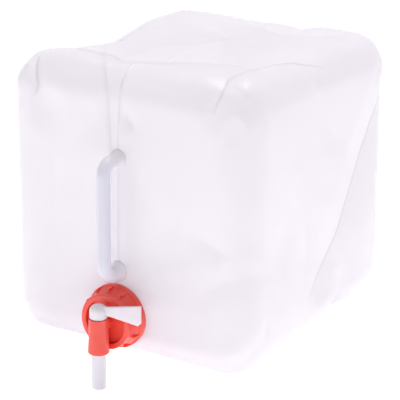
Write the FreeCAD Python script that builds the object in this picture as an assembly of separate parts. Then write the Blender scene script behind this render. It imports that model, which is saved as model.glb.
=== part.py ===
import FreeCAD, Part

import math
import os

from FreeCAD import Vector

# Large collapsible water jug, in millimetres.
# Frame: origin at the centre of the base plane, +Z up, the tap and the handle on the front face (-Y).

# Container body, a hollow rounded block with a thin wall.
BODY_WIDTH = 227.0
BODY_DEPTH = 260.0
BODY_HEIGHT = 240.0
EDGE_RADIUS = 31.5
WALL = 1.0
STIFF_DEPTH = 40.0          # depth of each end that keeps its shape when the jug is folded

# Cap axis. Heights along it are measured outwards from the front wall.
CAP_AXIS_Z = 40.6
LEAD = 6.0                  # advance of the cap ring in one turn, on a two-start thread
THREAD_STARTS = 2
RIDGE_ROOT = 1.3            # axial width of a thread ridge at its root
RIDGE_TIP = 0.7
RIDGE_BITE = 0.3            # how far a ridge's root sinks into its wall

# Neck, moulded on the front wall.
NECK_LENGTH = 13.5
NECK_BORE_R = 16.0
NECK_R = 18.0
NECK_THREAD_R = 19.2
NECK_THREAD_START = 3.0
NECK_THREAD_TURNS = 1.3
NECK_RIM_ROUND = 0.5

# Cap ring.
RING_BACK = 0.5
RING_FRONT = 19.6
RING_GRIP_R = 26.0
RING_GRIP_END = 5.0
RING_SHOULDER_R = 24.6
RING_SHOULDER_START = 5.6
RING_COLLAR_R = 22.3
RING_COLLAR_START = 12.6
RING_BORE_R = 19.6
RING_THREAD_R = 18.4
RING_THREAD_TURNS = 1.2
RING_LIP_BACK = 16.6
RING_WINDOW_R = 17.8
RING_COLLAR_ROUND = 1.0
RING_GRIP_ROUND = 0.7
RING_RIM_ROUND = 0.5
RIB_COUNT = 12
RIB_R = 25.2
RIB_WIDTH = 1.5
RIB_BITE = 1.0              # how far a rib sinks into the ring
RIB_END = 12.0
RIB_PHASE = 4.0             # degrees

# Gasket between the neck's rim and the tap's flange.
GASKET_IN_R = 16.3
GASKET_R = 18.7
GASKET_END = 14.8

# Tap body: flange, disc, skirt inside the neck, and the vertical tube in front.
FLANGE_R = 18.9
FLANGE_END = 16.5
DISC_R = 17.4
DISC_END = 17.2
SKIRT_R = 15.4
SKIRT_BORE_R = 13.6
SKIRT_START = 6.0
SKIRT_BITE = 0.5            # how far the skirt sinks into the flange
TUBE_OUT = 27.6             # tube axis, out from the front wall
TUBE_R = 7.6
TUBE_BORE_R = 6.1
TUBE_TOP_Z = 47.2
TUBE_BOTTOM_Z = 19.0
TUBE_LIP_R = 8.5
TUBE_LIP_HEIGHT = 1.5
TUBE_FLARE_HEIGHT = 16.0
RING_CLEARANCE = 0.4        # from the ring's front face to the back of the tube's lip
BARREL_R = 5.8
PASSAGE_R = 4.5

# Tap plug: lever, head, hollow plug and spout, one moulding turning in the tube.
PLUG_R = 6.02
PLUG_PORT_R = 3.8
PLUG_BORE_R = 4.1
PLUG_BORE_TOP_Z = 44.0
HEAD_R = 6.9
HEAD_BOTTOM_Z = 47.6
HEAD_TOP_Z = 58.0
HEAD_TOP_ROUND = 4.6
HEAD_BOTTOM_ROUND = 0.6
BEAD_R = 6.5
BEAD_HEIGHT = 0.9
BEAD_GAP = 0.3
SPOUT_R = 5.7
SPOUT_TIP_CHAMFER = 0.5
SPOUT_TIP_Z = -11.5
LEVER_TURN = 8.0            # degrees from +X towards the wall, with the tap closed
LEVER_THICKNESS = 2.6
LEVER_LENGTH = 36.3
LEVER_ROOT = 7.0
LEVER_ROOT_DROP = 0.4       # from the head's top to the lever's top edge
LEVER_ROUND = 0.6
LEVER_WAIST = 11.0
LEVER_WAIST_Z = 50.4
LEVER_END_TOP_Z = 63.2
LEVER_END_BOTTOM_Z = 46.9
LEVER_CHAMFER = 2.2

# Carry handle, a round bar in the plane x = 0.
HANDLE_R = 5.25
HANDLE_OUT = 19.3           # bar axis, out from the front wall
HANDLE_SINK = 3.0           # how far its ends are drawn past the wall before they are trimmed
HANDLE_TOP_Z = 169.0
HANDLE_TOP_CORNER_Z = 167.5
HANDLE_TOP_BEND = 9.0
HANDLE_LOW_CORNER_Z = 75.5
HANDLE_LOW_BEND = 13.0
HANDLE_LOW_Z = 77.0
HANDLE_FLARE = 3.0          # extra radius where the bar meets the wall
HANDLE_FLARE_LENGTH = 7.0

FRONT_Y = -BODY_DEPTH / 2
BACK_Y = BODY_DEPTH / 2
FAR = 1000.0


def box(low, high):
    size = [high[i] - low[i] for i in range(3)]
    return Part.makeBox(size[0], size[1], size[2], Vector(*low))


def turned(profile):
    """Solid of revolution about Z from (radius, height) points."""
    points = [Vector(radius, 0, height) for radius, height in profile]
    outline = Part.makePolygon(points + [points[0]])
    return Part.Face(outline).revolve(Vector(0, 0, 0), Vector(0, 0, 1), 360)


def tube(outer, inner, low, high):
    return turned([(inner, low), (outer, low), (outer, high), (inner, high)])


def rounded(shape, radius, circles):
    """Round the circular edges about Z that have the given (radius, height)."""
    edges = []
    for edge in shape.Edges:
        if not isinstance(edge.Curve, Part.Circle):
            continue
        for edge_radius, height in circles:
            same_radius = abs(edge.Curve.Radius - edge_radius) < 0.01
            same_height = abs(edge.Curve.Center.z - height) < 0.01
            if same_radius and same_height:
                edges.append(edge)
    return shape.makeFillet(radius, edges)


def on_front(shape):
    """Turn a shape made along Z so that it stands out of the front wall on the cap axis."""
    placed = shape.copy()
    placed.rotate(Vector(0, 0, 0), Vector(1, 0, 0), 90)
    placed.translate(Vector(0, FRONT_Y, CAP_AXIS_Z))
    return placed


def thread_ridges(root_r, tip_r, start, turns):
    """Helical ridges of the two-start thread about Z, from the root radius to the tip radius."""
    bite = math.copysign(RIDGE_BITE, root_r - tip_r)
    profile = [
        Vector(root_r + bite, 0, start - RIDGE_ROOT / 2),
        Vector(tip_r, 0, start - RIDGE_TIP / 2),
        Vector(tip_r, 0, start + RIDGE_TIP / 2),
        Vector(root_r + bite, 0, start + RIDGE_ROOT / 2),
    ]
    outline = Part.makePolygon(profile + [profile[0]])
    path = Part.makeHelix(LEAD, LEAD * turns, root_r)
    path.translate(Vector(0, 0, start))
    ridges = []
    for index in range(THREAD_STARTS):
        ridge = Part.Wire(path).makePipeShell([outline], True, True)
        ridge.rotate(Vector(0, 0, 0), Vector(0, 0, 1), 360.0 * index / THREAD_STARTS)
        ridges.append(ridge)
    return ridges


def container():
    """The whole hollow body, before it is divided into its stiff ends and its folding walls."""
    half_width = BODY_WIDTH / 2
    outer = box((-half_width, FRONT_Y, 0), (half_width, BACK_Y, BODY_HEIGHT))
    outer = outer.makeFillet(EDGE_RADIUS, outer.Edges)
    inner = box(
        (-half_width + WALL, FRONT_Y + WALL, WALL),
        (half_width - WALL, BACK_Y - WALL, BODY_HEIGHT - WALL),
    )
    inner = inner.makeFillet(EDGE_RADIUS - WALL, inner.Edges)
    mouth = on_front(Part.makeCylinder(NECK_BORE_R, 4 * WALL, Vector(0, 0, -2 * WALL)))
    return outer.cut(inner).cut(mouth)


def slice_of(shape, low_y, high_y):
    return shape.common(box((-FAR, low_y, -FAR), (FAR, high_y, FAR)))


def neck():
    wall = tube(NECK_R, NECK_BORE_R, 0, NECK_LENGTH)
    wall = rounded(wall, NECK_RIM_ROUND, [(NECK_R, NECK_LENGTH), (NECK_BORE_R, NECK_LENGTH)])
    ridges = thread_ridges(NECK_R, NECK_THREAD_R, NECK_THREAD_START, NECK_THREAD_TURNS)
    return on_front(wall.fuse(ridges))


def cap_ring():
    ring = turned([
        (RING_BORE_R, RING_BACK),
        (RING_GRIP_R, RING_BACK),
        (RING_GRIP_R, RING_GRIP_END),
        (RING_SHOULDER_R, RING_SHOULDER_START),
        (RING_COLLAR_R, RING_COLLAR_START),
        (RING_COLLAR_R, RING_FRONT),
        (RING_WINDOW_R, RING_FRONT),
        (RING_WINDOW_R, RING_LIP_BACK),
        (RING_BORE_R, RING_LIP_BACK),
    ])
    ring = rounded(ring, RING_COLLAR_ROUND, [(RING_COLLAR_R, RING_FRONT)])
    ring = rounded(ring, RING_RIM_ROUND, [(RING_WINDOW_R, RING_FRONT), (RING_GRIP_R, RING_BACK)])
    ring = rounded(ring, RING_GRIP_ROUND, [(RING_GRIP_R, RING_GRIP_END)])
    ribs = []
    rib_start = RING_GRIP_END - RIB_BITE
    rib = box((RING_COLLAR_R - RIB_BITE, -RIB_WIDTH / 2, rib_start), (RIB_R, RIB_WIDTH / 2, RIB_END))
    for index in range(RIB_COUNT):
        turned_rib = rib.copy()
        turned_rib.rotate(Vector(0, 0, 0), Vector(0, 0, 1), RIB_PHASE + 360.0 * index / RIB_COUNT)
        ribs.append(turned_rib)
    # The ring's ridges lie midway between the neck's, so the thread runs clear of its mate.
    start = NECK_THREAD_START + LEAD / THREAD_STARTS / 2
    ridges = thread_ridges(RING_BORE_R, RING_THREAD_R, start, RING_THREAD_TURNS)
    return on_front(ring.fuse(ribs + ridges))


def cap_gasket():
    return on_front(tube(GASKET_R, GASKET_IN_R, NECK_LENGTH, GASKET_END))


def upright(radius, low_z, high_z):
    """Cylinder on the tube's axis, in the cap's own frame, where Y is up."""
    start = Vector(0, low_z - CAP_AXIS_Z, TUBE_OUT)
    return Part.makeCylinder(radius, high_z - low_z, start, Vector(0, 1, 0))


def tap_body():
    plate = turned([
        (0, GASKET_END),
        (FLANGE_R, GASKET_END),
        (FLANGE_R, FLANGE_END),
        (DISC_R, FLANGE_END),
        (DISC_R, DISC_END),
        (0, DISC_END),
    ])
    skirt = tube(SKIRT_R, SKIRT_BORE_R, SKIRT_START, GASKET_END + SKIRT_BITE)
    barrel = Part.makeCylinder(BARREL_R, TUBE_OUT - GASKET_END, Vector(0, 0, GASKET_END))
    lip_top = TUBE_BOTTOM_Z + TUBE_LIP_HEIGHT
    lip = upright(TUBE_LIP_R, TUBE_BOTTOM_Z, lip_top)
    flare = Part.makeCone(
        TUBE_LIP_R,
        TUBE_R,
        TUBE_FLARE_HEIGHT,
        Vector(0, lip_top - CAP_AXIS_Z, TUBE_OUT),
        Vector(0, 1, 0),
    )
    # The lip is flat at the back, so that it stays clear of the ring's front face.
    flat_back = box((-FAR, -FAR, RING_FRONT + RING_CLEARANCE), (FAR, FAR, FAR))
    lip = lip.fuse(flare).common(flat_back)
    body = plate.fuse([skirt, barrel, upright(TUBE_R, TUBE_BOTTOM_Z, TUBE_TOP_Z), lip])
    passage = Part.makeCylinder(PASSAGE_R, TUBE_OUT - SKIRT_START, Vector(0, 0, SKIRT_START))
    body = body.cut([upright(TUBE_BORE_R, TUBE_BOTTOM_Z - 1, TUBE_TOP_Z + 1), passage])
    return on_front(body)


def lever():
    """Flared upright paddle, drawn along +X from the tube's axis."""
    root_top = HEAD_TOP_Z - LEVER_ROOT_DROP
    outline = [
        (0, root_top),
        (LEVER_ROOT, root_top),
        (LEVER_LENGTH, LEVER_END_TOP_Z),
        (LEVER_LENGTH, LEVER_END_BOTTOM_Z + LEVER_CHAMFER),
        (LEVER_LENGTH - LEVER_CHAMFER, LEVER_END_BOTTOM_Z),
        (LEVER_WAIST, LEVER_WAIST_Z),
        (0, LEVER_WAIST_Z),
    ]
    points = [Vector(x, -LEVER_THICKNESS / 2, z) for x, z in outline]
    face = Part.Face(Part.makePolygon(points + [points[0]]))
    paddle = face.extrude(Vector(0, LEVER_THICKNESS, 0))
    edges = []
    for edge in paddle.Edges:
        middle = edge.valueAt((edge.FirstParameter + edge.LastParameter) / 2)
        if middle.x > 1.0 and abs(abs(middle.y) - LEVER_THICKNESS / 2) < 0.01:
            edges.append(edge)
    return paddle.makeFillet(LEVER_ROUND, edges)


def tap_plug():
    """Made on the Z axis with the lever along +X, then moved to the tube."""
    bead_top = TUBE_BOTTOM_Z - BEAD_GAP
    core = turned([
        (0, SPOUT_TIP_Z),
        (SPOUT_R - SPOUT_TIP_CHAMFER, SPOUT_TIP_Z),
        (SPOUT_R, SPOUT_TIP_Z + SPOUT_TIP_CHAMFER),
        (SPOUT_R, bead_top - BEAD_HEIGHT),
        (BEAD_R, bead_top - BEAD_HEIGHT / 2),
        (BEAD_R, bead_top),
        (PLUG_R, bead_top),
        (PLUG_R, HEAD_BOTTOM_Z),
        (HEAD_R, HEAD_BOTTOM_Z),
        (HEAD_R, HEAD_TOP_Z),
        (0, HEAD_TOP_Z),
    ])
    core = rounded(core, HEAD_TOP_ROUND, [(HEAD_R, HEAD_TOP_Z)])
    core = rounded(core, HEAD_BOTTOM_ROUND, [(HEAD_R, HEAD_BOTTOM_Z)])
    bore_length = PLUG_BORE_TOP_Z - SPOUT_TIP_Z
    bore = Part.makeCylinder(PLUG_BORE_R, bore_length, Vector(0, 0, SPOUT_TIP_Z))
    port = Part.makeCylinder(PLUG_PORT_R, 2 * PLUG_R, Vector(0, 0, CAP_AXIS_Z), Vector(-1, 0, 0))
    plug = core.cut([bore, port]).fuse(lever())
    plug = plug.removeSplitter()
    plug.rotate(Vector(0, 0, 0), Vector(0, 0, 1), LEVER_TURN)
    plug.translate(Vector(0, FRONT_Y - TUBE_OUT, 0))
    return plug


def bent_bar(corners, bends, radius):
    """Round bar along straight runs joined by tangent arcs; the first and last corners are its ends."""
    edges = []
    run_start = corners[0]
    for index in range(1, len(corners) - 1):
        corner = corners[index]
        back = (corners[index - 1] - corner).normalize()
        ahead = (corners[index + 1] - corner).normalize()
        half_angle = back.getAngle(ahead) / 2
        bend = bends[index - 1]
        trim = bend / math.tan(half_angle)
        arc_start = corner + back * trim
        arc_end = corner + ahead * trim
        centre = corner + (back + ahead).normalize() * (bend / math.sin(half_angle))
        arc_middle = centre + (corner - centre).normalize() * bend
        edges.append(Part.LineSegment(run_start, arc_start).toShape())
        edges.append(Part.Arc(arc_start, arc_middle, arc_end).toShape())
        run_start = arc_end
    edges.append(Part.LineSegment(run_start, corners[-1]).toShape())
    path = Part.Wire(edges)
    section = Part.Wire(Part.makeCircle(radius, corners[0], corners[1] - corners[0]))
    return path.makePipeShell([section], True, True)


def carry_handle():
    bar_y = FRONT_Y - HANDLE_OUT
    sunk_y = FRONT_Y + HANDLE_SINK
    corners = [
        Vector(0, sunk_y, HANDLE_TOP_Z),
        Vector(0, bar_y, HANDLE_TOP_CORNER_Z),
        Vector(0, bar_y, HANDLE_LOW_CORNER_Z),
        Vector(0, sunk_y, HANDLE_LOW_Z),
    ]
    bar = bent_bar(corners, [HANDLE_TOP_BEND, HANDLE_LOW_BEND], HANDLE_R)
    bar = bar.common(box((-FAR, -FAR, -FAR), (FAR, FRONT_Y, FAR)))
    flares = []
    for height in (HANDLE_TOP_Z, HANDLE_LOW_Z):
        root = Vector(0, FRONT_Y, height)
        cone = Part.makeCone(HANDLE_R + HANDLE_FLARE, HANDLE_R, HANDLE_FLARE_LENGTH, root, Vector(0, -1, 0))
        flares.append(cone)
    return bar.fuse(flares)


def main():
    body = container()
    fold_front = FRONT_Y + STIFF_DEPTH
    fold_back = BACK_Y - STIFF_DEPTH
    parts = {
        "front_shell": slice_of(body, FRONT_Y - 1, fold_front),
        "fold_walls": slice_of(body, fold_front, fold_back),
        "rear_shell": slice_of(body, fold_back, BACK_Y + 1),
        "neck": neck(),
        "carry_handle": carry_handle(),
        "cap_ring": cap_ring(),
        "cap_gasket": cap_gasket(),
        "tap_body": tap_body(),
        "tap_plug": tap_plug(),
    }
    os.makedirs("parts", exist_ok=True)
    for name, shape in parts.items():
        shape.exportStep("parts/" + name + ".step")
        print(name, "solids", len(shape.Solids), "valid", shape.isValid(), "volume", round(shape.Volume, 1))


main()
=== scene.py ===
import itertools
import math
import random

import bmesh
import bpy
import numpy as np
from mathutils import Matrix, Vector


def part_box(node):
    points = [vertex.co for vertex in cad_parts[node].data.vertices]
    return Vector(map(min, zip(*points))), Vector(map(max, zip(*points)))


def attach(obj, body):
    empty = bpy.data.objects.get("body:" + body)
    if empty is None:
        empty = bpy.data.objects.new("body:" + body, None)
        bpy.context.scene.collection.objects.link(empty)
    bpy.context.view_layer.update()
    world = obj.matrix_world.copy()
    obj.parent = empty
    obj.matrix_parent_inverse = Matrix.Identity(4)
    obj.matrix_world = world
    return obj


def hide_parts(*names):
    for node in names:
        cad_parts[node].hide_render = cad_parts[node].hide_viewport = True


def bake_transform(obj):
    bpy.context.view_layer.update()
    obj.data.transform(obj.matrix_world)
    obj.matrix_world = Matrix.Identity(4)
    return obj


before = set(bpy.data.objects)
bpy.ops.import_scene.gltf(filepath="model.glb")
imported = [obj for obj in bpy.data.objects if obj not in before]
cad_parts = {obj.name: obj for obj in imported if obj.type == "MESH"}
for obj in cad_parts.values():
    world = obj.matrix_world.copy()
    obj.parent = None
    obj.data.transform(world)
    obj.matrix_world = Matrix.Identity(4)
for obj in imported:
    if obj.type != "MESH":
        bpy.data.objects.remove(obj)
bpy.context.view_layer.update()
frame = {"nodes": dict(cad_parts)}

# Large collapsible water jug. Lengths are millimetres until a mesh is made, except for lights and camera.
MM = 0.001

# The body's block, from the CAD.
HALF_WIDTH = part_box("front_shell")[1].x / MM
HALF_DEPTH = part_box("rear_shell")[1].y / MM
HALF_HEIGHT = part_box("front_shell")[1].z / MM / 2
HALF_SIZE = np.array([HALF_WIDTH, HALF_DEPTH, HALF_HEIGHT])
CENTRE = np.array([0.0, 0.0, HALF_HEIGHT])
FRONT_Y = -HALF_DEPTH
EDGE_RADIUS = 31.5
WALL = 1.0

# Cap axis, the mouth behind it, and where the front wall is held flat.
ring_low, ring_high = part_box("cap_ring")
CAP_Z = (ring_low.z + ring_high.z) / 2 / MM
MOUTH_RADIUS = 16.0
MOUTH_REACH = 5.0           # the mouth is cut through faces within this distance of the front
NECK_FLAT = 30.0            # the wall is flat up to this distance from the cap axis
NECK_FREE = 62.0            # and free beyond this one
HANDLE_FLAT = 10.0          # the same, from the line behind the handle
HANDLE_FREE = 44.0

# Shell mesh.
CORNER_STEPS = 9
GRID_SPACING = 3.3
SEAM_TICKS = (-2.4, -1.2, -0.5, 0.0, 0.5, 1.2, 2.4)
TICK_GAP = 1.2              # grid lines nearer than this to a seam's line are left out
ROUTE_STEP = 5.0
CREASE_REACH = 4.5          # the grid is finer within this distance of a sharp crease
CREASE_CUTS = 2
FINE_SHARPNESS = 0.25       # folds sharper than this get the finer grid
# width of the line of painted shade along the bottom of a sharp fold
SHADE_LINE_WIDTH = 1.1
VALLEY_POWER = 1.5          # how steeply a fold's sides meet at its bottom
FADE = (-0.15, 0.25)        # share of a fold's length over which it fades at each end

# Mould seam round the middle, in the plane x = 0.
SEAM_WIDTH = 0.9
SEAM_HEIGHT = 0.55
SEAM_SHADE = 0.2            # painted shade: how far the front's seam goes towards the painted shade colour
BASE_SHADE = 0.22           # the same painted shade, on the downward-facing faces of the base edge

# Fold lines of the soft wall: depth, half-width of the valley, sharpness of its bottom (which gives it a
# finer grid and a darker line of painted shade along the crease), and its route.
FOLDS = [
    # top panel, with its fork towards the front and the right
    (8.0, 42, 0.32, [(-88, -67, 240), (-55, -61, 240), (-25, -77, 240), (34, -45, 240), (73, -61, 240)]),
    (4.5, 26, 0.30, [(73, -61, 240), (88, -29, 240), (106, 0, 230)]),
    (4.0, 18, 0.27, [(73, -61, 240), (78, -92, 240), (83, -118, 233), (82, -127, 215)]),
    (3.5, 26, 0.0, [(34, -45, 240), (10, 20, 240), (-30, 60, 240)]),
    (4.5, 30, 0.0, [(-24, 103, 240), (36, 77, 240), (88, 84, 238)]),
    (4.0, 20, 0.0, [(36, 77, 240), (30, 118, 232), (26, 130, 205)]),
    # top edge of the front, and the crinkles at its right corner
    (-1.2, 9, 0.0, [(-44, -116, 236), (-4, -112, 238)]),
    (1.3, 9, 0.0, [(84, -112, 236), (104, -110, 216)]),
    (-1.2, 9, 0.0, [(90, -124, 222), (108, -112, 200)]),
    # front panel
    (3.5, 10, 0.33, [(-90, -112, 238), (-85, -122, 230), (-79, -129, 217), (-81, -130, 207)]),
    (1.6, 16, 0.0, [(62, -130, 118), (84, -130, 112), (104, -126, 104)]),
    (1.8, 16, 0.0, [(70, -130, 68), (92, -130, 84), (110, -118, 90), (113, -92, 80)]),
    (1.4, 10, 0.1, [(4, -130, 206), (12, -130, 190)]),
    (2.0, 26, 0.0, [(-96, -130, 60), (-70, -130, 100), (-62, -130, 160)]),
    # right side, a long curved diagonal, and the base edge drawn up below it
    (6.5, 40, 0.27, [
        (112, 118, 205), (113, 97, 169), (113, 75, 134), (113, 49, 97), (113, 28, 72), (112, -20, 39),
    ]),
    (6.5, 32, 0.0, [(113, 48, 52), (110, 46, 22), (96, 44, 2), (70, 40, 0)]),
    (3.0, 24, 0.0, [(113, 40, 150), (113, 0, 190), (108, -20, 225)]),
    (2.0, 20, 0.0, [(113, -60, 150), (113, -30, 110), (113, -28, 60)]),
    # left side, creased at mid depth where the wall folds in
    (15.0, 82, 2.2, [(-70, -24, 240), (-104, -16, 236), (-113, -10, 205), (-113, -5, 150), (-113, 0, 90)]),
    (3.5, 26, 0.0, [(-113, 92, 40), (-113, 60, 90), (-113, 10, 120)]),
    (2.5, 24, 0.0, [(-113, -92, 190), (-113, -50, 150), (-113, -6, 140)]),
    # rear
    (4.0, 34, 0.27, [(-72, 130, 196), (-20, 130, 150), (20, 130, 110), (76, 130, 58)]),
    (3.0, 24, 0.0, [(84, 130, 200), (48, 130, 150), (6, 130, 122)]),
]

# Small round dents: depth, radius, centre.
DENTS = [
    (1.6, 9, (8, -130, 198)),
    (2.2, 26, (-70, -130, 200)),
    (2.6, 30, (60, 130, 190)),
    (2.0, 24, (-60, 130, 60)),
    (2.0, 26, (113, -70, 100)),
    (2.4, 30, (-113, 60, 170)),
    (-2.5, 34, (-56, -96, 240)),
    (1.5, 24, (44, -100, 240)),
]

# How far the middle of each panel sinks: depth, the axis that the panel faces, and its direction.
PANEL_DISHES = [
    (4.5, 1, -1),
    (4.0, 1, 1),
    (2.0, 0, 1),
    (2.0, 0, -1),
    (3.0, 2, 1),
    (3.0, 2, -1),
]

# Ripple of the whole wall: height, seed, length of a wave, number of waves.
RIPPLES = [
    (0.55, 3, 95.0, 6),
    (0.16, 5, 30.0, 8),
]

# Short creases at the corners.
CORNER_SEED = 7
CORNER_INSET = 10.0
CORNER_FOLDS_TOP = 5
CORNER_FOLDS_BASE = 3

# Carry handle, a round bar in the plane x = 0, placed as in the CAD.
bar_low, bar_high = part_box("carry_handle")
BAR_RADIUS = 5.25
ROOT_RADIUS = bar_high.x / MM
HANDLE_TOP_Z = bar_high.z / MM - ROOT_RADIUS
HANDLE_LOW_Z = bar_low.z / MM + ROOT_RADIUS
HANDLE_OUT = FRONT_Y - bar_low.y / MM - BAR_RADIUS
HANDLE_DROP = 1.5           # the bar's corners lie this much lower than its roots
HANDLE_SINK = 0.8           # the roots end this far inside the wall
TOP_BEND = 9.0
LOW_BEND = 13.0
BEND_STEPS = 15
BAR_SIDES = 40
BAR_SPACING = 1.6
FLARE = 0.6 * (ROOT_RADIUS - BAR_RADIUS)
FLARE_LENGTH = 9.0
WEB = 1.6                   # the low root is this much deeper, up and down, where it meets the wall
WEB_HEIGHT = 30.0
BAR_SEAM_HEIGHT = 0.35
BAR_SEAM_WIDTH = 0.09       # as a share of the bar's radius

# Milky plastics: the colour of the painted shade in creases, along the seam and on the base edge, and the
# colour of the painted light on the handle's roots.
PAINTED_SHADE_COLOUR = (0.26, 0.23, 0.33)
PAINTED_ROOT_LIGHT = (0.97, 0.94, 0.985)

# Stage. The riser is a low block under the base, so that the spout hangs clear of the floor.
FLOOR_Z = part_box("tap_plug")[0].z / MM - 1.0
FLOOR_HALF = 4000.0
FLOOR_GLOW = 0.75
RISER_HALF_WIDTH = 66.0
RISER_HALF_DEPTH = 84.0
RISER_GLOW = 0.95

# Lights, in metres and watts: name, place, size, power.
SURROUND = 0.42
SOFT_BOXES = [
    ("key", (-1.0, -1.5, 1.4), (0.8, 0.8), 6.2),
    ("fill", (1.7, -0.8, 0.9), (0.4, 1.0), 0.2),
    ("top", (0.15, 0.4, 1.7), (0.8, 0.8), 17.3),
]
LIGHT_TARGET = (0.0, 0.0, 0.12)

# Camera: degrees, metres, and millimetres of lens and sensor.
CAMERA_AZIMUTH = 30.98
CAMERA_ELEVATION = 17.28
CAMERA_ROLL = 0.786
CAMERA_DISTANCE = 1.1606
CAMERA_LENS = 123.15
CAMERA_SENSOR = 36.0
CAMERA_SHIFT = (-0.0144, -0.0574)


# ---------------------------------------------------------------- small helpers

def smooth_step(value, start, end):
    t = np.clip((value - start) / (end - start), 0.0, 1.0)
    return t * t * (3.0 - 2.0 * t)


def unit_rows(vectors):
    return vectors / np.linalg.norm(vectors, axis=1)[:, None]


def mesh_object(name, vertices_mm, faces):
    mesh = bpy.data.meshes.new(name)
    mesh.from_pydata((np.asarray(vertices_mm) * MM).tolist(), [], faces)
    mesh.validate()
    mesh.shade_smooth()
    obj = bpy.data.objects.new(name, mesh)
    bpy.context.scene.collection.objects.link(obj)
    return obj


def add_painted_shading(obj, values):
    """Store how far each point of a milky piece takes its material's second colour: painted shade on the
    body, painted light on the handle.
    """
    layer = obj.data.attributes.new("painted_shading", "FLOAT", "POINT")
    layer.data.foreach_set("value", values)


def dress(obj, material):
    obj.data.materials.clear()
    obj.data.materials.append(material)


# ---------------------------------------------------------------- routes on the block

def on_block(points):
    """Points in the body's frame, moved onto the rounded block's surface."""
    inner = HALF_SIZE - EDGE_RADIUS
    offset = points - CENTRE
    deep = (np.abs(offset) <= inner).all(axis=1)
    offset[deep] /= (np.abs(offset[deep]) / HALF_SIZE).max(axis=1)[:, None]
    core = np.clip(offset, -inner, inner)
    return CENTRE + core + EDGE_RADIUS * unit_rows(offset - core)


def laid_on_block(route):
    """A smooth curve through a route's points, in short runs laid on the rounded block's surface."""
    route = np.asarray(route, float)
    slopes = np.gradient(route, axis=0)
    laid = [route[:1]]
    for start, end, slope, next_slope in zip(route, route[1:], slopes, slopes[1:]):
        count = max(2, int(np.linalg.norm(end - start) / ROUTE_STEP))
        t = (np.arange(count) + 1)[:, None] / count
        ease = t * t * (3 - 2 * t)
        bow = t * (1 - t) ** 2 * slope - t * t * (1 - t) * next_slope
        laid.append(start + (end - start) * ease + bow)
    return on_block(np.vstack(laid))


def route_distance(points, route):
    """Distance from each point to a route, and how far along the route it is, 0 to 1."""
    route = laid_on_block(route)
    runs = np.linalg.norm(np.diff(route, axis=0), axis=1)
    total = runs.sum()
    best = np.full(len(points), np.inf)
    along = np.zeros(len(points))
    done = 0.0
    for start, end, run in zip(route, route[1:], runs):
        direction = (end - start) / run
        t = np.clip((points - start) @ direction, 0.0, run)
        distance = np.linalg.norm(points - (start + t[:, None] * direction), axis=1)
        closer = distance < best
        best = np.where(closer, distance, best)
        along = np.where(closer, (done + t) / total, along)
        done += run
    return best, along


# ---------------------------------------------------------------- container shell: the grid

def axis_ticks(half, extra=()):
    """Grid lines across one side: even angles round the edges, even steps across the flat."""
    inner = half - EDGE_RADIUS
    angles = [math.radians(45.0 * k / CORNER_STEPS) for k in range(1, CORNER_STEPS + 1)]
    corner = [inner + EDGE_RADIUS * math.tan(angle) for angle in angles]
    count = int(round(2 * inner / GRID_SPACING))
    flat = [-inner + 2 * inner * k / count for k in range(count + 1)]
    flat = [tick for tick in flat if all(abs(tick - line) > TICK_GAP for line in extra)]
    return sorted(flat + list(extra) + corner + [-tick for tick in corner])


def block_grid():
    """A closed grid of quads on the body's block, centred on the origin."""
    ticks = (axis_ticks(HALF_WIDTH, SEAM_TICKS), axis_ticks(HALF_DEPTH), axis_ticks(HALF_HEIGHT))
    index_of = {}
    vertices = []
    faces = []

    def vertex(point):
        key = tuple(round(c, 4) for c in point)
        if key not in index_of:
            index_of[key] = len(vertices)
            vertices.append(point)
        return index_of[key]

    for axis in range(3):
        u_axis, v_axis = (axis + 1) % 3, (axis + 2) % 3
        for sign in (-1, 1):
            grid = []
            for u in ticks[u_axis]:
                row = []
                for v in ticks[v_axis]:
                    point = [0.0, 0.0, 0.0]
                    point[axis] = sign * HALF_SIZE[axis]
                    point[u_axis] = u
                    point[v_axis] = v
                    row.append(vertex(tuple(point)))
                grid.append(row)
            for i in range(len(grid) - 1):
                for j in range(len(grid[0]) - 1):
                    quad = [grid[i][j], grid[i + 1][j], grid[i + 1][j + 1], grid[i][j + 1]]
                    faces.append(quad if sign > 0 else quad[::-1])
    return np.array(vertices), faces


def rounded_block():
    """The block with its edges rounded: points in the body's frame, outward normals, and quads."""
    points, faces = block_grid()
    inner = HALF_SIZE - EDGE_RADIUS
    core = np.clip(points, -inner, inner)
    normals = unit_rows(points - core)
    return CENTRE + core + EDGE_RADIUS * normals, normals, faces


def finer_at_creases(points, normals, faces):
    """Divide the quads beside each sharp crease, so that its bottom is narrow."""
    near = np.full(len(points), False)
    for _, _, sharpness, route in FOLDS:
        if sharpness > FINE_SHARPNESS:
            near |= route_distance(points, route)[0] < CREASE_REACH
    mesh = bmesh.new()
    normal = mesh.verts.layers.float_vector.new("normal")
    verts = []
    for point, direction in zip(points.tolist(), normals.tolist()):
        vert = mesh.verts.new(point)
        vert[normal] = direction
        verts.append(vert)
    for face in faces:
        mesh.faces.new([verts[i] for i in face])
    mesh.verts.index_update()
    edges = [edge for edge in mesh.edges if all(near[vert.index] for vert in edge.verts)]
    bmesh.ops.subdivide_edges(mesh, edges=edges, cuts=CREASE_CUTS, use_grid_fill=True)
    mesh.verts.index_update()
    new_points = np.array([vert.co[:] for vert in mesh.verts])
    new_normals = np.array([vert[normal][:] for vert in mesh.verts])
    new_faces = [[vert.index for vert in face.verts] for face in mesh.faces]
    mesh.free()
    return new_points, unit_rows(new_normals), new_faces


# ---------------------------------------------------------------- container shell: its shape

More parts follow.
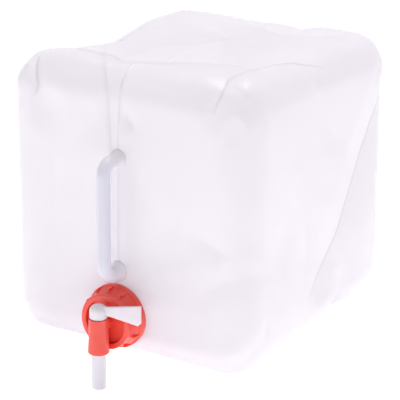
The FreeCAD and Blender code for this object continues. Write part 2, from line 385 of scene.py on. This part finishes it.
def corner_folds():
    """Short creases that fan out from each corner, where the blown wall is thinnest."""
    chance = random.Random(CORNER_SEED)
    folds = []
    for signs in itertools.product((-1, 1), repeat=3):
        corner = CENTRE + np.array(signs) * (HALF_SIZE - CORNER_INSET)
        for _ in range(CORNER_FOLDS_TOP if signs[2] > 0 else CORNER_FOLDS_BASE):
            along = np.array([-sign * chance.uniform(0, 1) for sign in signs])
            along /= np.linalg.norm(along)
            start = corner + along * chance.uniform(2, 14)
            end = start + along * chance.uniform(22, 46)
            depth = chance.uniform(0.8, 1.8)
            half_width = chance.uniform(9, 14)
            folds.append((depth, half_width, 0.0, [start, end]))
    return folds


def waves(points, seed, length, count):
    """Gentle irregular ripple: plane waves of about the given length, in seeded directions."""
    chance = np.random.RandomState(seed)
    total = np.zeros(len(points))
    for _ in range(count):
        direction = chance.normal(size=3)
        direction /= np.linalg.norm(direction)
        wave = 2 * math.pi / (length * chance.uniform(0.7, 1.5))
        total += np.sin(points @ direction * wave + chance.uniform(0, 2 * math.pi))
    return total / math.sqrt(count)


def fold_depth(points):
    """How far the wall is pushed in by fold lines and dents, and how much painted shade lies along each
    sharp crease.
    """
    pushed = np.zeros(len(points))
    painted_shade = np.zeros(len(points))
    for depth, half_width, sharpness, route in FOLDS + corner_folds():
        distance, along = route_distance(points, route)
        ends = smooth_step(along, *FADE) * smooth_step(1 - along, *FADE)
        pushed += depth * ends * np.clip(1 - distance / half_width, 0, 1) ** VALLEY_POWER
        # painted shade along the bottom of each sharp fold, darker the sharper the fold
        painted_shade = np.maximum(painted_shade, sharpness * ends * np.exp(-(distance / SHADE_LINE_WIDTH) ** 2))
    for depth, radius, centre in DENTS:
        distance = np.linalg.norm(points - np.array(centre), axis=1)
        pushed += depth * (1 - smooth_step(distance, 0, radius))
    return pushed, painted_shade


def panel_dish(points, normals):
    """Each flat panel sinks a little between its edges."""
    arch = np.clip(1 - ((points - CENTRE) / HALF_SIZE) ** 2, 0, 1)
    dish = np.zeros(len(points))
    for depth, axis, direction in PANEL_DISHES:
        between_edges = np.delete(arch, axis, axis=1).prod(axis=1)
        dish += depth * between_edges * smooth_step(direction * normals[:, axis], 0.5, 1.0)
    return dish


def stiffness(points, normals):
    """0 where the wall is held flat, round the neck and behind the handle, and 1 where it is free."""
    from_neck = np.hypot(points[:, 0], points[:, 2] - CAP_Z)
    handle_z = np.clip(points[:, 2], HANDLE_LOW_Z, HANDLE_TOP_Z)
    from_handle = np.hypot(points[:, 0], points[:, 2] - handle_z)
    free = smooth_step(from_neck, NECK_FLAT, NECK_FREE) * smooth_step(from_handle, HANDLE_FLAT, HANDLE_FREE)
    return np.where(normals[:, 1] < -0.9, free, 1.0)


def open_mouth(points, faces, painted_shade):
    """Take the faces inside the neck's bore away, and draw the rim that is left onto its circle."""
    kept = []
    lost = set()
    for face in faces:
        centre = points[face].mean(axis=0)
        from_axis = math.hypot(centre[0], centre[2] - CAP_Z)
        if from_axis < MOUTH_RADIUS and centre[1] < FRONT_Y + MOUTH_REACH:
            lost.update(face)
        else:
            kept.append(face)
    used = sorted({index for face in kept for index in face})
    rim = np.array(sorted(lost.intersection(used)))
    offset = MOUTH_RADIUS * unit_rows(np.stack([points[rim, 0], points[rim, 2] - CAP_Z], 1))
    points[rim, 0] = offset[:, 0]
    points[rim, 2] = CAP_Z + offset[:, 1]
    number = {old: new for new, old in enumerate(used)}
    kept = [[number[index] for index in face] for face in kept]
    return points[used], kept, painted_shade[used]


def thick_shell(name, outer, faces, painted_shade):
    """Outer skin, inner skin one wall inside it, and the edge of the mouth between them."""
    skin = mesh_object(name + "_skin", outer, faces)
    normals = np.zeros(len(outer) * 3)
    skin.data.vertices.foreach_get("normal", normals)
    bpy.data.objects.remove(skin)
    inner = outer - normals.reshape(-1, 3) * WALL
    count = len(outer)
    rim = {}
    for face in faces:
        for a, b in zip(face, face[1:] + face[:1]):
            key = (min(a, b), max(a, b))
            rim[key] = None if key in rim else (a, b)
    all_faces = faces + [[index + count for index in reversed(face)] for face in faces]
    all_faces += [[b, a, a + count, b + count] for a, b in filter(None, rim.values())]
    shell = mesh_object(name, np.vstack([outer, inner]), all_faces)
    add_painted_shading(shell, np.concatenate([painted_shade, painted_shade]))
    return shell


def container_shell():
    points, normals, faces = finer_at_creases(*rounded_block())
    on_base = smooth_step(-normals[:, 2], 0.6, 0.95)
    folds, painted_shade = fold_depth(points)
    ripple = sum(height * waves(points, *wave) for height, *wave in RIPPLES)
    seam = np.exp(-(points[:, 0] / SEAM_WIDTH) ** 2)
    push = panel_dish(points, normals) + folds * (1 - 0.8 * on_base) + ripple * (1 - on_base)
    moved = points - normals * (push * stiffness(points, normals) - SEAM_HEIGHT * seam)[:, None]
    moved[:, 2] = np.maximum(moved[:, 2], 0.0)
    # painted shade along the front's mould seam
    painted_shade = np.maximum(painted_shade, SEAM_SHADE * seam * smooth_step(-normals[:, 1], 0.3, 0.8))
    # painted shade on the downward-facing faces of the base edge
    painted_shade = np.maximum(painted_shade, BASE_SHADE * smooth_step(-normals[:, 2], 0.2, 0.9))
    return thick_shell("container_shell", *open_mouth(moved, faces, painted_shade))


# ---------------------------------------------------------------- carry handle

def bent_path(corners, bends, spacing):
    """Points along straight runs joined by arcs, evenly spaced."""
    runs = [corners[0]]
    for corner, bend, before, after in zip(corners[1:-1], bends, corners, corners[2:]):
        back = (before - corner) / np.linalg.norm(before - corner)
        ahead = (after - corner) / np.linalg.norm(after - corner)
        half_angle = math.acos(float(back @ ahead)) / 2
        trim = bend / math.tan(half_angle)
        centre = corner + (back + ahead) / np.linalg.norm(back + ahead) * bend / math.sin(half_angle)
        start = corner + back * trim - centre
        end = corner + ahead * trim - centre
        turn = math.pi - 2 * half_angle
        for t in np.linspace(0, 1, BEND_STEPS):
            swept = start * math.sin((1 - t) * turn) + end * math.sin(t * turn)
            runs.append(centre + swept / math.sin(turn))
    runs.append(corners[-1])
    runs = np.array(runs)
    length = np.concatenate([[0], np.cumsum(np.linalg.norm(np.diff(runs, axis=0), axis=1))])
    even = np.linspace(0, length[-1], int(length[-1] / spacing) + 1)
    return np.stack([np.interp(even, length, runs[:, i]) for i in range(3)], 1)


def handle_path():
    corners = [
        np.array([0.0, FRONT_Y + HANDLE_SINK, HANDLE_TOP_Z]),
        np.array([0.0, FRONT_Y - HANDLE_OUT, HANDLE_TOP_Z - HANDLE_DROP]),
        np.array([0.0, FRONT_Y - HANDLE_OUT, HANDLE_LOW_Z - HANDLE_DROP]),
        np.array([0.0, FRONT_Y + HANDLE_SINK, HANDLE_LOW_Z]),
    ]
    return bent_path(corners, [TOP_BEND, LOW_BEND], BAR_SPACING)


def carry_handle():
    """The bar, flared where it meets the wall, with a fine mould seam inside and outside, and painted light
    towards the roots.
    """
    path = handle_path()
    tangents = unit_rows(np.gradient(path, axis=0))
    across = np.array([1.0, 0.0, 0.0])
    vertices = []
    painted_shading = []
    for centre, tangent in zip(path, tangents):
        outward = np.cross(across, tangent)
        from_wall = max(FRONT_Y - centre[1], 0.0)
        near_wall = max(0.0, 1 - from_wall / HANDLE_OUT)
        radius = BAR_RADIUS + FLARE * max(0.0, 1 - from_wall / FLARE_LENGTH) ** 2
        near_low_root = 1.0 - float(smooth_step(centre[2], HANDLE_LOW_Z, HANDLE_LOW_Z + WEB_HEIGHT))
        web = WEB * near_low_root * near_wall
        for side in range(BAR_SIDES):
            angle = 2 * math.pi * side / BAR_SIDES
            seam = BAR_SEAM_HEIGHT * math.exp(-(math.sin(angle) / BAR_SEAM_WIDTH) ** 2)
            offset_across = across * radius * math.sin(angle)
            offset_out = outward * (radius + web + seam) * math.cos(angle)
            vertices.append(centre + offset_across + offset_out)
            # painted light towards the wall, lifting the shade at the roots
            painted_shading.append(near_wall)
    faces = []
    for ring in range(len(path) - 1):
        for side in range(BAR_SIDES):
            a = ring * BAR_SIDES + side
            b = ring * BAR_SIDES + (side + 1) % BAR_SIDES
            faces.append([a, b, b + BAR_SIDES, a + BAR_SIDES])
    last = (len(path) - 1) * BAR_SIDES
    faces.append(list(range(BAR_SIDES))[::-1])
    faces.append([last + side for side in range(BAR_SIDES)])
    handle = mesh_object("handle_loop", vertices, faces)
    add_painted_shading(handle, painted_shading)
    return handle


# ---------------------------------------------------------------- materials

class Nodes:
    """A material's node tree, with short calls for what the plastics share."""

    def __init__(self, name):
        self.material = bpy.data.materials.new(name)
        self.material.use_nodes = True
        self.tree = self.material.node_tree
        self.shader = self.tree.nodes["Principled BSDF"]
        self.place = self.tree.nodes.new("ShaderNodeTexCoord").outputs["Object"]

    def noise(self, scale, detail=3.0, roughness=0.5):
        node = self.tree.nodes.new("ShaderNodeTexNoise")
        node.inputs["Scale"].default_value = scale
        node.inputs["Detail"].default_value = detail
        node.inputs["Roughness"].default_value = roughness
        self.tree.links.new(self.place, node.inputs["Vector"])
        return node.outputs["Fac"]

    def ramp(self, value, low, high, first, second):
        """Colour from first to second as value goes from low to high."""
        node = self.tree.nodes.new("ShaderNodeValToRGB")
        for element, position, colour in zip(node.color_ramp.elements, (low, high), (first, second)):
            element.position = position
            element.color = (*colour, 1.0)
        self.tree.links.new(value, node.inputs["Fac"])
        return node.outputs["Color"]

    def span(self, value, low, high, first, second):
        """Number from first to second as value goes from low to high."""
        node = self.tree.nodes.new("ShaderNodeMapRange")
        node.inputs["From Min"].default_value = low
        node.inputs["From Max"].default_value = high
        node.inputs["To Min"].default_value = first
        node.inputs["To Max"].default_value = second
        self.tree.links.new(value, node.inputs["Value"])
        return node.outputs["Result"]

    def bump(self, value, distance, strength, below=None):
        node = self.tree.nodes.new("ShaderNodeBump")
        node.inputs["Distance"].default_value = distance
        node.inputs["Strength"].default_value = strength
        self.tree.links.new(value, node.inputs["Height"])
        if below is not None:
            self.tree.links.new(below, node.inputs["Normal"])
        return node.outputs["Normal"]

    def with_painted_shading(self, colour, painted_shading):
        """The colour, mixed towards the painted light and shade colour as far as the mesh's own painted
        shading values say.
        """
        attribute = self.tree.nodes.new("ShaderNodeAttribute")
        attribute.attribute_name = "painted_shading"
        mix = self.tree.nodes.new("ShaderNodeMix")
        mix.data_type = "RGBA"
        self.tree.links.new(attribute.outputs["Fac"], mix.inputs["Factor"])
        self.tree.links.new(colour, mix.inputs["A"])
        mix.inputs["B"].default_value = (*painted_shading, 1.0)
        return mix.outputs["Result"]

    def set(self, **values):
        for name, value in values.items():
            socket = self.shader.inputs[name.replace("_", " ")]
            if isinstance(value, bpy.types.NodeSocket):
                self.tree.links.new(value, socket)
            else:
                socket.default_value = value


def milky_plastic(name, light, dark, painted_shading, alpha):
    """Translucent milky polythene: uneven haze, soft gloss, and a second colour for painted shade and
    painted light where the mesh's values say.
    """
    nodes = Nodes(name)
    haze = nodes.noise(9.0, 3.0, 0.55)
    grain = nodes.noise(900.0, 2.0, 0.6)
    # painted shade and painted light mixed into the base colour
    nodes.set(Base_Color=nodes.with_painted_shading(nodes.ramp(haze, 0.25, 0.75, dark, light), painted_shading))
    nodes.set(Roughness=nodes.span(haze, 0.1, 0.9, 0.31, 0.44))
    nodes.set(Normal=nodes.bump(grain, 0.00005, 0.25))
    nodes.set(Alpha=alpha, IOR=1.51)
    return nodes.material


def body_plastic():
    return milky_plastic("body_plastic", (0.905, 0.865, 0.922), (0.88, 0.835, 0.905), PAINTED_SHADE_COLOUR, 0.44)


def handle_plastic():
    return milky_plastic("handle_plastic", (0.815, 0.795, 0.905), (0.785, 0.765, 0.885), PAINTED_ROOT_LIGHT, 0.80)


def neck_plastic():
    return milky_plastic("neck_plastic", (0.86, 0.82, 0.90), (0.84, 0.80, 0.88), PAINTED_SHADE_COLOUR, 0.75)


def red_plastic():
    """Injection-moulded red polythene: slight colour drift, satin gloss, fine grain."""
    nodes = Nodes("tap_red")
    drift = nodes.noise(60.0, 3.0, 0.5)
    grain = nodes.noise(1600.0, 2.0, 0.6)
    flow = nodes.noise(140.0, 2.0, 0.5)
    nodes.set(Base_Color=nodes.ramp(drift, 0.3, 0.7, (0.89, 0.068, 0.048), (0.95, 0.102, 0.073)))
    nodes.set(Roughness=nodes.span(flow, 0.3, 0.7, 0.29, 0.38))
    soft = nodes.bump(flow, 0.0002, 0.25)
    nodes.set(Normal=nodes.bump(grain, 0.00003, 0.3, soft))
    nodes.set(Subsurface_Weight=0.22, Subsurface_Scale=0.006, IOR=1.51)
    return nodes.material


def white_plastic():
    """Natural polythene of the plug: milky white, satin, fine grain."""
    nodes = Nodes("tap_white")
    drift = nodes.noise(70.0, 3.0, 0.5)
    grain = nodes.noise(1500.0, 2.0, 0.6)
    nodes.set(Base_Color=nodes.ramp(drift, 0.3, 0.7, (0.74, 0.71, 0.78), (0.81, 0.78, 0.845)))
    nodes.set(Roughness=nodes.span(drift, 0.3, 0.7, 0.30, 0.4))
    nodes.set(Normal=nodes.bump(grain, 0.00003, 0.3))
    nodes.set(Subsurface_Weight=0.3, Subsurface_Scale=0.005, IOR=1.51)
    return nodes.material


def gasket_foam():
    """Closed-cell foam: pale grey, matt, with small cells."""
    nodes = Nodes("gasket_foam")
    cells = nodes.noise(2500.0, 4.0, 0.7)
    nodes.set(Base_Color=nodes.ramp(cells, 0.35, 0.65, (0.52, 0.51, 0.49), (0.66, 0.65, 0.62)))
    nodes.set(Roughness=0.85, Normal=nodes.bump(cells, 0.0001, 0.6))
    return nodes.material


def floor_card(name, glow):
    """White card with a little glow of its own, so that it stays white under soft light."""
    nodes = Nodes(name)
    nodes.set(Base_Color=nodes.ramp(nodes.noise(3.0), 0.3, 0.7, (0.92, 0.92, 0.92), (0.95, 0.95, 0.95)))
    nodes.set(Roughness=0.8, Emission_Color=(1.0, 1.0, 1.0, 1.0), Emission_Strength=glow)
    return nodes.material


# ---------------------------------------------------------------- stage, light and camera

def rectangle(half_x, half_y, z):
    return [(-half_x, -half_y, z), (half_x, -half_y, z), (half_x, half_y, z), (-half_x, half_y, z)]


def floor():
    obj = mesh_object("floor", rectangle(FLOOR_HALF, FLOOR_HALF, FLOOR_Z), [[0, 1, 2, 3]])
    dress(obj, floor_card("floor_card", FLOOR_GLOW))


def riser():
    bottom = rectangle(RISER_HALF_WIDTH, RISER_HALF_DEPTH, FLOOR_Z)
    top = rectangle(RISER_HALF_WIDTH, RISER_HALF_DEPTH, 0.0)
    sides = [[k, (k + 1) % 4, (k + 1) % 4 + 4, k + 4] for k in range(4)]
    obj = mesh_object("riser", bottom + top, [[3, 2, 1, 0], [4, 5, 6, 7]] + sides)
    obj.data.shade_flat()
    dress(obj, floor_card("riser_card", RISER_GLOW))


def soft_box(name, place, size, power):
    light = bpy.data.lights.new(name, "AREA")
    light.shape = "RECTANGLE"
    light.size, light.size_y = size
    light.energy = power
    obj = bpy.data.objects.new(name, light)
    obj.location = place
    obj.rotation_euler = (Vector(LIGHT_TARGET) - Vector(place)).to_track_quat("-Z", "Y").to_euler()
    bpy.context.scene.collection.objects.link(obj)


def studio():
    world = bpy.data.worlds.new("studio")
    world.use_nodes = True
    background = world.node_tree.nodes["Background"]
    background.inputs["Color"].default_value = (1.0, 1.0, 1.0, 1.0)
    background.inputs["Strength"].default_value = SURROUND
    bpy.context.scene.world = world
    for name, place, size, power in SOFT_BOXES:
        soft_box(name, place, size, power)
    bpy.context.scene.view_settings.view_transform = "Standard"


def camera():
    azimuth, elevation, roll = map(math.radians, (CAMERA_AZIMUTH, CAMERA_ELEVATION, CAMERA_ROLL))
    outwards = Vector((math.sin(azimuth), -math.cos(azimuth), 0.0))
    back = outwards * math.cos(elevation) + Vector((0.0, 0.0, math.sin(elevation)))
    right = (-back).cross(Vector((0, 0, 1))).normalized()
    up = right.cross(-back)
    tilted_right = math.cos(roll) * right + math.sin(roll) * up
    tilted_up = -math.sin(roll) * right + math.cos(roll) * up
    place = Vector(CENTRE) * MM + back * CAMERA_DISTANCE
    data = bpy.data.cameras.new("camera")
    data.sensor_width = CAMERA_SENSOR
    data.lens = CAMERA_LENS
    data.shift_x, data.shift_y = CAMERA_SHIFT
    obj = bpy.data.objects.new("camera", data)
    turn = Matrix((tilted_right, tilted_up, back)).transposed().to_4x4()
    obj.matrix_world = Matrix.Translation(place) @ turn
    bpy.context.scene.collection.objects.link(obj)
    bpy.context.scene.camera = obj


# ---------------------------------------------------------------- assembly

def main():
    camera()
    studio()
    floor()
    riser()

    shell = container_shell()
    dress(shell, body_plastic())
    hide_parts("front_shell", "fold_walls", "rear_shell")
    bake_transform(shell)

    handle = carry_handle()
    dress(handle, handle_plastic())
    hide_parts("carry_handle")
    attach(handle, "jug")

    nodes = frame["nodes"]
    red = red_plastic()
    dress(nodes["neck"], neck_plastic())
    dress(nodes["cap_ring"], red)
    dress(nodes["tap_body"], red)
    dress(nodes["tap_plug"], white_plastic())
    dress(nodes["cap_gasket"], gasket_foam())


main()
